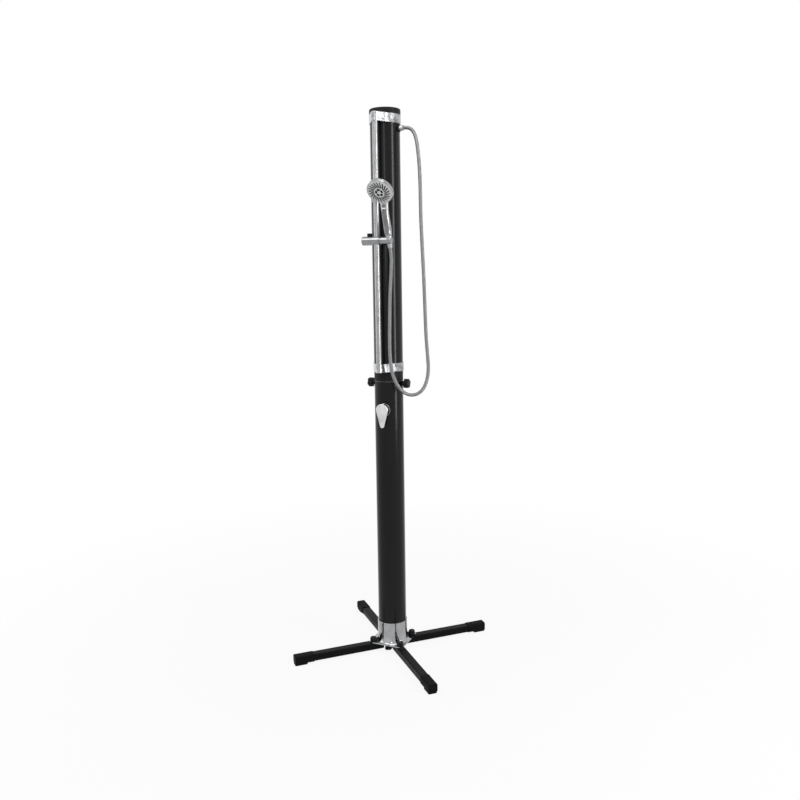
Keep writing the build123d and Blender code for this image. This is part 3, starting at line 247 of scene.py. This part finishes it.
# Each stretch: the two bodies it runs between, and the heights at which it leaves one and joins the other.
# The loop's bottom is listed with the slider, so that no section of the hose would be squeezed there; only
# the stretches' names are read here.
hose_stretches = {
    "hose_fall": ("column", "slider", 2.03, 1.14),
    "hose_rise": ("column", "slider", 0.9, 1.0),
    "hose_swing": ("slider", "holder", 1.49, 1.563),
    "hose_tail": ("holder", "handset", 1.563, 1.6501),
}
hose_pitch = 0.0036         # one turn of the wound strip
tiny = 1e-6
rings_per_turn = 6
curve_steps = 24            # steps of the smooth line from one control point to the next
hose_sides = 20
seam_depth = 0.0009
# Colour of the painted shade in the seams between the strip's turns
seam_shade_colour = (0.008, 0.008, 0.009)
strip_colour = (0.27, 0.274, 0.282)


def hose_material():
    """Wound metal strip: painted shade darkens the seams between the rounded turns."""
    material, tree, shader = new_material("hose_metal")
    attribute = tree.nodes.new("ShaderNodeAttribute")
    attribute.attribute_name = "turn"
    fine = noise(tree, place_source(tree), 900.0)
    shade = spread(tree, attribute.outputs["Fac"], 0.1, 0.75, 0, 1)
    colour = tint(tree, shade, seam_shade_colour, strip_colour)
    tree.links.new(colour, shader.inputs["Base Color"])
    tree.links.new(spread(tree, fine, 0.3, 0.7, 0.22, 0.36), shader.inputs["Roughness"])
    bump(tree, shader, fine, 0.1, 0.0001)
    shader.inputs["Metallic"].default_value = 1.0
    return material


def spline_line(points, name):
    """Points along the smooth line that these control points give."""
    curve = bpy.data.curves.new(name, "CURVE")
    curve.dimensions = "3D"
    curve.resolution_u = curve_steps
    spline = curve.splines.new("NURBS")
    spline.points.add(len(points) - 1)
    for slot, point in zip(spline.points, points):
        slot.co = (*point, 1)
    spline.order_u = 3
    spline.use_endpoint_u = True
    holder = bpy.data.objects.new(name, curve)
    mesh = bpy.data.meshes.new_from_object(holder)
    line = [vertex.co.copy() for vertex in mesh.vertices]
    bpy.data.objects.remove(holder)
    bpy.data.curves.remove(curve)
    bpy.data.meshes.remove(mesh)
    return line


def even_line(line, step):
    """The same line with its points spaced evenly, near this step."""
    lengths = [0.0]
    for a, b in zip(line, line[1:]):
        lengths.append(lengths[-1] + (b - a).length)
    count = max(2, round(lengths[-1] / step))
    points = []
    k = 0
    for i in range(count + 1):
        goal = lengths[-1] * i / count
        while k < len(lengths) - 2 and lengths[k + 1] < goal:
            k += 1
        part = (goal - lengths[k]) / max(lengths[k + 1] - lengths[k], tiny)
        points.append(line[k].lerp(line[k + 1], min(max(part, 0), 1)))
    return points


def hose_mesh(name, line):
    """Closed tube round a line, wound from a strip, with each point's height on the strip kept as "turn"."""
    bm = bmesh.new()
    layer = bm.verts.layers.float.new("turn")
    side = Vector((0, 0, 1)).cross(line[1] - line[0])
    if side.length < tiny:
        side = Vector((0, 1, 0))
    side.normalize()
    rings = []
    for i, centre in enumerate(line):
        along = (line[min(i + 1, len(line) - 1)] - line[max(i - 1, 0)]).normalized()
        side = (side - along * side.dot(along)).normalized()
        other = along.cross(side)
        ring = []
        for j in range(hose_sides):
            turn = 2 * pi * j / hose_sides
            height = strip_height(i, j)
            radius = hose_radius - seam_depth * (1 - height)
            vert = bm.verts.new(centre + (side * cos(turn) + other * sin(turn)) * radius)
            vert[layer] = height
            ring.append(vert)
        rings.append(ring)
    for low, high in zip(rings, rings[1:]):
        for j in range(hose_sides):
            k = (j + 1) % hose_sides
            face = bm.faces.new((low[j], low[k], high[k], high[j]))
            face.smooth = True
    bm.faces.new(list(reversed(rings[0])))
    bm.faces.new(rings[-1])
    mesh = bpy.data.meshes.new(name)
    bm.to_mesh(mesh)
    bm.free()
    piece = bpy.data.objects.new(name, mesh)
    scene.collection.objects.link(piece)
    return piece


def strip_height(i, j):
    """Height of the wound strip at this ring and side: 0 in the seam and 1 on its crown."""
    turn = i / rings_per_turn + j / hose_sides
    return abs(sin(pi * turn))


def turn_near(route, place):
    """Index of the route's point nearest to this place, at a whole turn of the wound strip."""
    nearest = min(range(len(route)), key=lambda i: (route[i] - Vector(place)).length)
    return round(nearest / rings_per_turn) * rings_per_turn


def add_hose():
    """The hose in four stretches of one smooth route, each put in place of the hidden CAD stretch of the
    same name.
    """
    route = even_line(spline_line(hose_points, "hose_route"), hose_pitch / rings_per_turn)
    cuts = [0] + [turn_near(route, place) for place in hose_cuts] + [len(route) - 1]
    metal = hose_material()
    for name, first, last in zip(hose_stretches, cuts, cuts[1:]):
        line = route[first:last + 1]
        piece = hose_mesh("cover_" + name, line)
        piece.data.materials.append(metal)
        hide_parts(name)
        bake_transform(piece)


# Small detail of the visible parts
crease_angle = radians(35)  # sharper edges are shaded as edges


def frame_at(origin, across, out):
    """Matrix with x across, z out of the surface and y along it, at this point."""
    out = Vector(out).normalized()
    across = Vector(across).normalized()
    along = out.cross(across)
    turn = Matrix((across, along, out)).transposed().to_4x4()
    return Matrix.Translation(origin) @ turn


def add_rings(bm, rings, place, closed=False):
    """Skin a row of equal rings of points, with a face on the first and last unless the row is a loop."""
    rows = [[bm.verts.new(place @ Vector(point)) for point in ring] for ring in rings]
    pairs = list(zip(rows, rows[1:]))
    if closed:
        pairs.append((rows[-1], rows[0]))
    for low, high in pairs:
        for j in range(len(low)):
            k = (j + 1) % len(low)
            bm.faces.new((low[j], low[k], high[k], high[j]))
    if not closed:
        bm.faces.new(list(reversed(rows[0])))
        bm.faces.new(rows[-1])


def lathe_rings(profile, sides):
    """Rings of a turned shape from its (radius, height) profile."""
    turns = [2 * pi * j / sides for j in range(sides)]
    return [[(radius * cos(turn), radius * sin(turn), height) for turn in turns]
            for radius, height in profile]


def finish_piece(name, bm, material, body, replaced=()):
    """Turn the mesh into a shaded piece that rides on its body."""
    bmesh.ops.recalc_face_normals(bm, faces=bm.faces)
    for face in bm.faces:
        face.smooth = True
    for edge in bm.edges:
        if len(edge.link_faces) == 2 and edge.calc_face_angle(0) > crease_angle:
            edge.smooth = False
    mesh = bpy.data.meshes.new(name)
    bm.to_mesh(mesh)
    bm.free()
    mesh.materials.append(material)
    piece = bpy.data.objects.new(name, mesh)
    scene.collection.objects.link(piece)
    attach(piece, body)
    if replaced:
        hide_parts(*replaced)
    return piece


# Hand shower: its lean, the spray face's tilt and place, and the plate's dome
holder_centre = Vector((0.052, -0.090, 1.677))
handle_lean = radians(17)
spray_tilt = radians(23)
handle_up = Vector((0, -sin(handle_lean), cos(handle_lean)))
handle_front = Vector((0, -cos(handle_lean), -sin(handle_lean)))
spray_out = handle_front * cos(spray_tilt) - handle_up * sin(spray_tilt)
spray_forward = 0.0262      # of the spray face's centre, out of the handle's axis
spray_up = 0.1864           # and along it, from the holder
spray_centre = holder_centre + handle_front * spray_forward + handle_up * spray_up
spray_place = frame_at(spray_centre, (1, 0, 0), spray_out)
dome_height = 0.004
dome_flat_r = 0.017
dome_radius = 0.1145

# Pads of the spray face: a ring of leaning ones with nozzles, and five at the centre
swirl_count = 22
swirl_ring_r = 0.031
swirl_turn = radians(25)
swirl_half = 0.0125
swirl_width = 0.0045
swirl_foot = -0.0008        # height of the pads' underside
centre_slots = 5
centre_ring_r = 0.0115
centre_half = 0.0060
centre_width = 0.0080
centre_foot = 0.0016
pad_rise = 0.0004
pad_steps = 12
pad_flat = 0.7              # share of a pad's width that is flat on top
pad_squareness = 6          # power of the rounded ends; a higher one is squarer
pad_least = 0.04            # square of the share of the width that is left at the very end
nubs_per_pad = 4
nub_reach = 0.86            # share of a pad's length that the nozzles fill
nub_sides = 10
nub_profile = ((0.00095, 0.0001), (0.00085, 0.0009), (0.0005, 0.0012))  # radius, and height over the dome


def dome_at(x, y):
    """Height of the spray plate's surface over its rim."""
    r = sqrt(x * x + y * y)
    if r <= dome_flat_r:
        return dome_height
    return dome_height - dome_radius + sqrt(dome_radius ** 2 - (r - dome_flat_r) ** 2)


def add_pad(bm, centre, along, half, width, foot, nubs):
    """Soft dark pad that fills one groove of the spray plate, with nozzle nubs along it."""
    cx, cy = centre
    dx, dy = along
    rings = []
    for i in range(pad_steps + 1):
        s = -half + 2 * half * i / pad_steps
        w = width / 2 * sqrt(max(1 - (abs(s) / half) ** pad_squareness, pad_least))
        x, y = cx + dx * s, cy + dy * s
        top = dome_at(x, y) + pad_rise
        section = ((-1, foot), (-1, top - pad_rise), (-pad_flat, top),
                   (pad_flat, top), (1, top - pad_rise), (1, foot))
        rings.append([(x - dy * w * side, y + dx * w * side, height) for side, height in section])
    add_rings(bm, rings, spray_place)
    for n in range(nubs):
        s = half * (2 * (n + 0.5) / nubs - 1) * nub_reach
        x, y = cx + dx * s, cy + dy * s
        top = dome_at(x, y)
        turned = lathe_rings(nub_profile, nub_sides)
        nub = [[(px + x, py + y, pz + top) for px, py, pz in ring] for ring in turned]
        add_rings(bm, nub, spray_place)


def add_spray_pads():
    """Ring of leaning pads and the five at the centre, in one piece as they are moulded."""
    bm = bmesh.new()
    for k in range(swirl_count):
        turn = 2 * pi * k / swirl_count
        centre = (swirl_ring_r * cos(turn), swirl_ring_r * sin(turn))
        lie = turn + swirl_turn
        add_pad(bm, centre, (cos(lie), sin(lie)), swirl_half, swirl_width, swirl_foot, nubs_per_pad)
    for k in range(centre_slots):
        turn = pi / 2 + 2 * pi * k / centre_slots
        centre = (centre_ring_r * cos(turn), centre_ring_r * sin(turn))
        add_pad(bm, centre, (-sin(turn), cos(turn)), centre_half, centre_width, centre_foot, 0)
    finish_piece("spray_pads", bm, nozzle_dark, "handset")


# Grip panel: where it starts and ends along the handle, half its width, and how far it stands out
grip_low = 0.0205
grip_high = 0.1205
grip_low_half = 0.0068
grip_high_half = 0.0088
grip_low_front = 0.0116
grip_high_front = 0.0098
grip_rise = 0.0012
grip_sunk = 0.0014
grip_steps = 40
grip_squareness = 12
grip_least = 0.15
grip_crown = (-pi / 2, -1.1, -0.7, -0.35, 0, 0.35, 0.7, 1.1, pi / 2)    # turns round the panel's section

# Thumb pad and chrome bar, the bar painted bright as a highlight: place along the handle and out of it, half
# width, half length, corner and rise
thumb_pad = (0.1310, 0.0076, 0.0078, 0.0068, 0.0062, 0.0012)
panel_bar = (0.1222, 0.0094, 0.0075, 0.0015, 0.0014, 0.0013)
pill_foot = -0.0012
corner_steps = 6


def handle_at(along, front):
    """Frame on the handle's front, this far along it and out of it."""
    return frame_at(holder_centre + handle_up * along + handle_front * front, (1, 0, 0), handle_front)


def pill(half_wide, half_long, corner, height, inset):
    """Rounded rectangle at this height, moved inwards by the inset."""
    ring = []
    for sx, sy in ((1, 1), (-1, 1), (-1, -1), (1, -1)):
        for step in range(corner_steps + 1):
            angle = atan2(sy, sx) + pi / 2 * (step / corner_steps - 0.5)
            ring.append((sx * (half_wide - corner) + (corner - inset) * cos(angle),
                         sy * (half_long - corner) + (corner - inset) * sin(angle), height))
    return ring


def add_pill(name, sizes, material):
    """Low raised pad with a rounded rim, on the handle's front."""
    along, front, half_wide, half_long, corner, rise = sizes
    steps = ((pill_foot, 0.0), (rise * 0.4, 0.0), (rise * 0.8, rise * 0.35), (rise, rise))
    rings = [pill(half_wide, half_long, corner, height, inset) for height, inset in steps]
    bm = bmesh.new()
    add_rings(bm, rings, handle_at(along, front))
    finish_piece(name, bm, material, "handset")


def add_handle_trim():
    """Long grey grip panel, the thumb pad between it and the head, and the chrome bar under that pad,
    painted brighter than the rest of the chrome as a highlight.
    """
    bm = bmesh.new()
    rings = []
    for i in range(grip_steps + 1):
        share = i / grip_steps
        along = grip_low + (grip_high - grip_low) * share
        end = sqrt(max(1 - (2 * share - 1) ** grip_squareness, grip_least))
        half = (grip_low_half + (grip_high_half - grip_low_half) * share) * end
        front = grip_low_front + (grip_high_front - grip_low_front) * share
        rise = grip_rise * end
        ring = [(half * sin(turn), along, front + rise * cos(turn)) for turn in grip_crown]
        ring += [(half, along, front - grip_sunk), (-half, along, front - grip_sunk)]
        rings.append(ring)
    add_rings(bm, rings, frame_at(holder_centre, (1, 0, 0), handle_front))
    finish_piece("grip_panel", bm, panel_grey, "handset", replaced=("handset_panel",))
    add_pill("thumb_pad", thumb_pad, panel_grey)
    add_pill("panel_bar", panel_bar, chrome_painted_bright)


# Tap: its place on the lower tube, the lever's crowned teardrop, the hub behind it and the rose's edge
tap_turn = radians(5)
tap_z = 1.021
tap_out = Vector((sin(tap_turn), -cos(tap_turn), 0))
tap_place = frame_at(Vector((0, 0, tap_z)), (cos(tap_turn), sin(tap_turn), 0), tap_out)
lever_round = (0.003, 0.0245)       # height of the centre and radius of the round end
lever_tip = (-0.0605, 0.0085)
lever_back = 0.0795
lever_front = 0.0895
lever_middle = -0.016
lever_crown = 0.0018
lever_edge = 0.0035         # rounding of the front's edge
lever_heel = 0.0012         # chamfer of the back's edge
round_steps = 40
tip_steps = 16
edge_steps = 6
crown_scales = (0.9, 0.75, 0.55, 0.35, 0.15)
hub_profile = ((0.0041, 0.0004), (0.0041, -0.0065), (0.0079, -0.0065), (0.0085, -0.0058),
               (0.0085, 0.0004))        # radius, and distance in front of the lever's back
hub_sides = 40
rose_edge_profile = ((0.0246, 0.0641), (0.0252, 0.0639), (0.0258, 0.0634), (0.0255, 0.0628),
                     (0.0246, 0.0632))  # radius, and distance from the column's axis
rose_sides = 72

# Cut rim of the lower tube: radius and height of its section
tube_rim_profile = ((0.0568, 1.1332), (0.0578, 1.1332), (0.0579, 1.1328), (0.0579, 1.1320),
                    (0.0576, 1.1316), (0.0568, 1.1316))
tube_sides = 96


def teardrop(inset, scale, height):
    """Outline of the lever, moved inwards and then shrunk about its middle."""
    span = lever_round[0] - lever_tip[0]
    slope = asin((lever_round[1] - lever_tip[1]) / span)
    ring = []
    for centre, radius, start, end, steps in (
            (lever_round[0], lever_round[1] - inset, -slope, pi + slope, round_steps),
            (lever_tip[0], lever_tip[1] - inset, pi + slope, 2 * pi - slope, tip_steps)):
        ring += [(radius * cos(start + (end - start) * i / steps),
                  centre + radius * sin(start + (end - start) * i / steps)) for i in range(steps + 1)]
    return [(x * scale, lever_middle + (y - lever_middle) * scale, height) for x, y in ring]


def add_lever():
    """The lever's shell, chamfered behind and crowned in front, with the hub that its stem enters."""
    bm = bmesh.new()
    rings = [teardrop(lever_heel, 1, lever_back), teardrop(0.0, 1, lever_back + lever_heel)]
    for step in range(edge_steps + 1):
        angle = pi / 2 * step / edge_steps
        height = lever_front - lever_edge * (1 - sin(angle))
        rings.append(teardrop(lever_edge * (1 - cos(angle)), 1, height))
    for scale in crown_scales:
        rings.append(teardrop(lever_edge, scale, lever_front + lever_crown * (1 - scale ** 2)))
    add_rings(bm, rings, tap_place)
    hub = [(radius, lever_back + height) for radius, height in hub_profile]
    add_rings(bm, lathe_rings(hub, hub_sides), tap_place, closed=True)
    # The shell takes the chrome painted bright, a painted highlight on the lever
    finish_piece("lever_shell", bm, chrome_painted_bright, "lever", replaced=("tap_lever",))


def add_rose_edge():
    """Thin light edge round the front of the rose behind the lever."""
    bm = bmesh.new()
    add_rings(bm, lathe_rings(rose_edge_profile, rose_sides), tap_place, closed=True)
    finish_piece("rose_edge", bm, chrome, "column")


def add_tube_rim():
    """Cut rim of the lower tube, painted grey as the highlight it catches under the coupling's collar."""
    bm = bmesh.new()
    add_rings(bm, lathe_rings(tube_rim_profile, tube_sides), Matrix.Identity(4), closed=True)
    finish_piece("tube_rim", bm, rim_highlight_grey, "column")


# Setting
floor_near = 0.5            # metres from the column, where the floor starts to fade into the background
floor_far = 2.4
floor_white_near = 0.90     # share of the white background that the near floor shows
floor_half = 8
floor_dark = (0.68, 0.68, 0.68)
floor_light = (0.72, 0.72, 0.72)
light_level = 0.5
backdrop_level = 1.0


def seen_rays(tree):
    """1 for what the camera, metal and glass see, and 0 for light that falls on other surfaces."""
    path = tree.nodes.new("ShaderNodeLightPath")
    seen = path.outputs["Is Camera Ray"]
    for ray in ("Is Glossy Ray", "Is Transmission Ray"):
        either = tree.nodes.new("ShaderNodeMath")
        either.operation = "MAXIMUM"
        tree.links.new(seen, either.inputs[0])
        tree.links.new(path.outputs[ray], either.inputs[1])
        seen = either.outputs["Value"]
    return seen


def add_floor():
    """Plain pale floor that fades to the white background and keeps a soft shadow."""
    bm = bmesh.new()
    bmesh.ops.create_grid(bm, x_segments=2, y_segments=2, size=floor_half)
    mesh = bpy.data.meshes.new("floor")
    bm.to_mesh(mesh)
    bm.free()
    floor = bpy.data.objects.new("floor", mesh)
    scene.collection.objects.link(floor)
    material, tree, shader = new_material("floor")
    source = place_source(tree)
    colour = tint(tree, noise(tree, source, 3.0), floor_dark, floor_light)
    tree.links.new(colour, shader.inputs["Base Color"])
    shader.inputs["Roughness"].default_value = 0.9
    shader.inputs["Specular IOR Level"].default_value = 0.1
    distance = tree.nodes.new("ShaderNodeVectorMath")
    distance.operation = "LENGTH"
    tree.links.new(source, distance.inputs[0])
    white = spread(tree, distance.outputs["Value"], floor_near, floor_far, floor_white_near, 1.0)
    share = tree.nodes.new("ShaderNodeMath")
    share.operation = "MULTIPLY"
    tree.links.new(white, share.inputs[0])
    tree.links.new(seen_rays(tree), share.inputs[1])
    glow = tree.nodes.new("ShaderNodeEmission")
    glow.inputs["Color"].default_value = (1, 1, 1, 1)
    mix = tree.nodes.new("ShaderNodeMixShader")
    tree.links.new(share.outputs["Value"], mix.inputs["Fac"])
    tree.links.new(shader.outputs["BSDF"], mix.inputs[1])
    tree.links.new(glow.outputs["Emission"], mix.inputs[2])
    tree.links.new(mix.outputs["Shader"], tree.nodes["Material Output"].inputs["Surface"])
    mesh.materials.append(material)


def add_world():
    """Soft grey light all round; the camera and reflections see a plain white backdrop."""
    world = bpy.data.worlds.new("world")
    scene.world = world
    world.use_nodes = True
    tree = world.node_tree
    tree.nodes.clear()
    light = tree.nodes.new("ShaderNodeBackground")
    light.inputs["Color"].default_value = (1, 1, 1, 1)
    light.inputs["Strength"].default_value = light_level
    shown = tree.nodes.new("ShaderNodeBackground")
    shown.inputs["Color"].default_value = (1, 1, 1, 1)
    shown.inputs["Strength"].default_value = backdrop_level
    mix = tree.nodes.new("ShaderNodeMixShader")
    out = tree.nodes.new("ShaderNodeOutputWorld")
    tree.links.new(seen_rays(tree), mix.inputs["Fac"])
    tree.links.new(light.outputs["Background"], mix.inputs[1])
    tree.links.new(shown.outputs["Background"], mix.inputs[2])
    tree.links.new(mix.outputs["Shader"], out.inputs["Surface"])


def add_lamp(name, place, target, size, power):
    """Rectangular lamp that faces its target; size in metres and power in watts."""
    data = bpy.data.lights.new(name, "AREA")
    data.shape = "RECTANGLE"
    data.size, data.size_y = size
    data.energy = power
    lamp = bpy.data.objects.new(name, data)
    scene.collection.objects.link(lamp)
    lamp.location = place
    lamp.rotation_euler = (Vector(target) - Vector(place)).to_track_quat("-Z", "Y").to_euler()


def add_lights():
    add_lamp("side_strip", (2.46, -0.38, 1.6), (0, 0, 1.4), (0.45, 2.2), 36)
    add_lamp("front_strip", (0.95, -3.3, 2.3), (0, 0, 1.7), (0.35, 1.4), 8)
    add_lamp("left_soft", (-2.6, -1.2, 1.7), (0, 0, 1.2), (1.0, 1.8), 9)
    add_lamp("top_soft", (0.2, -0.6, 3.6), (0, 0, 1.2), (1.3, 1.3), 18)
    add_lamp("high_front", (-1.15, -1.6, 3.4), (0, 0, 1.7), (1.3, 1.3), 17)


scene.view_settings.view_transform = "Standard"
add_camera()
dress_nodes()
add_hose()
add_spray_pads()
add_handle_trim()
add_rose_edge()
add_lever()
add_tube_rim()
add_floor()
add_world()
add_lights()
